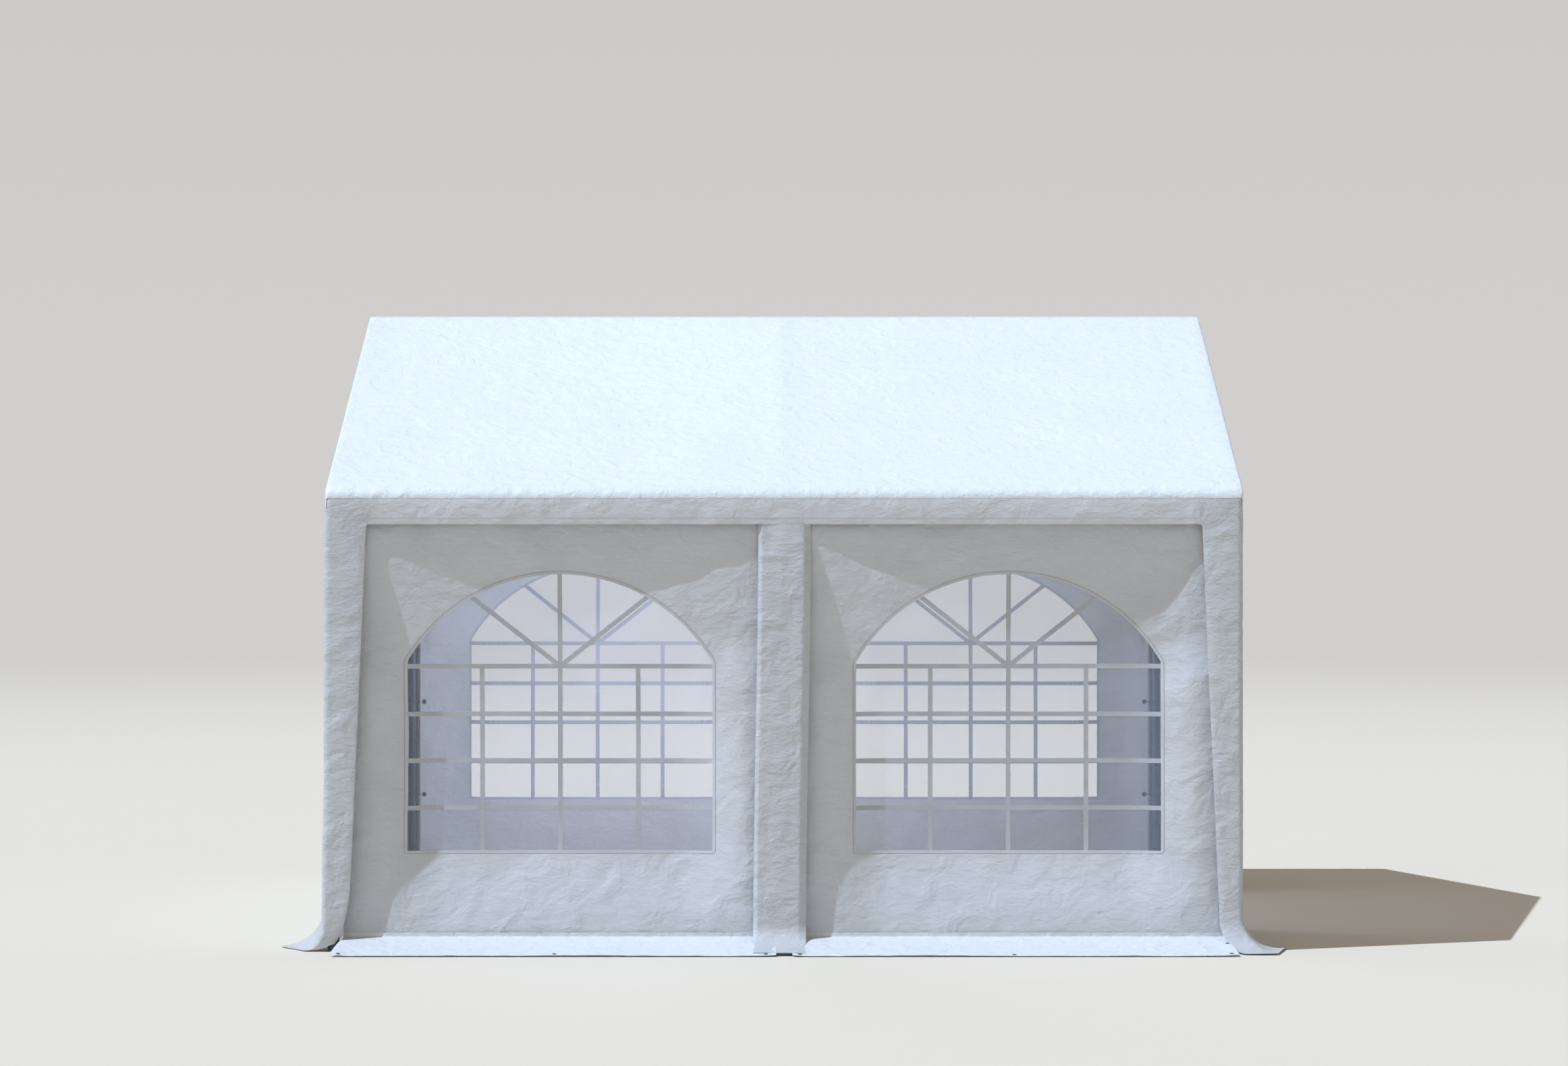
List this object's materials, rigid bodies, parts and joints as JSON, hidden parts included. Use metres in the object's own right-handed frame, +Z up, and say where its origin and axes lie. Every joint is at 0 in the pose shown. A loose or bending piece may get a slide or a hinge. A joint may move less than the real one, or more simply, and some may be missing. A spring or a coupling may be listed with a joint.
{
  "type": "marquee tent",
  "caption": "Gabled marquee tent: white cover with valance and flaps, arched clear windows with bars, skirts, and a steel tube frame inside.",
  "frame": {"origin": "on the ground at the middle of the tent's plan", "axes": "+X along the ridge to the end with the open doorway, -Y to the front with the two windows, +Z up"},
  "size_m": [4.437, 4.4518, 2.87],
  "materials": {
    "cover_pvc": "PVC coated polyester, semi-matt white",
    "window_foil": "clear PVC foil",
    "frame_tube": "galvanised steel tube",
    "frame_fitting": "galvanised welded steel fitting"
  },
  "bodies": {
    "root": {"roof_cover": "cover_pvc", "front_valance": "cover_pvc", "back_valance": "cover_pvc", "front_seam_flap_1": "cover_pvc", "back_seam_flap_1": "cover_pvc", "front_wall_1": "cover_pvc", "front_wall_2": "cover_pvc", "back_wall_1": "cover_pvc", "back_wall_2": "cover_pvc", "left_end_wall": "cover_pvc", "right_end_wall": "cover_pvc", "left_door_sheet": "cover_pvc", "right_door_roll": "cover_pvc", "front_window_1": "window_foil", "front_window_2": "window_foil", "back_window_1": "window_foil", "back_window_2": "window_foil", "front_leg_1": "frame_tube", "front_leg_2": "frame_tube", "front_leg_3": "frame_tube", "front_rafter_1": "frame_tube", "front_rafter_2": "frame_tube", "front_rafter_3": "frame_tube", "back_leg_1": "frame_tube", "back_leg_2": "frame_tube", "back_leg_3": "frame_tube", "back_rafter_1": "frame_tube", "back_rafter_2": "frame_tube", "back_rafter_3": "frame_tube", "front_eave_rail_1": "frame_tube", "front_eave_rail_2": "frame_tube", "back_eave_rail_1": "frame_tube", "back_eave_rail_2": "frame_tube", "ridge_rail_1": "frame_tube", "ridge_rail_2": "frame_tube", "front_eave_joint_1": "frame_fitting", "front_eave_joint_2": "frame_fitting", "front_eave_joint_3": "frame_fitting", "back_eave_joint_1": "frame_fitting", "back_eave_joint_2": "frame_fitting", "back_eave_joint_3": "frame_fitting", "ridge_joint_1": "frame_fitting", "ridge_joint_2": "frame_fitting", "ridge_joint_3": "frame_fitting"}
  },
  "joints": []
}
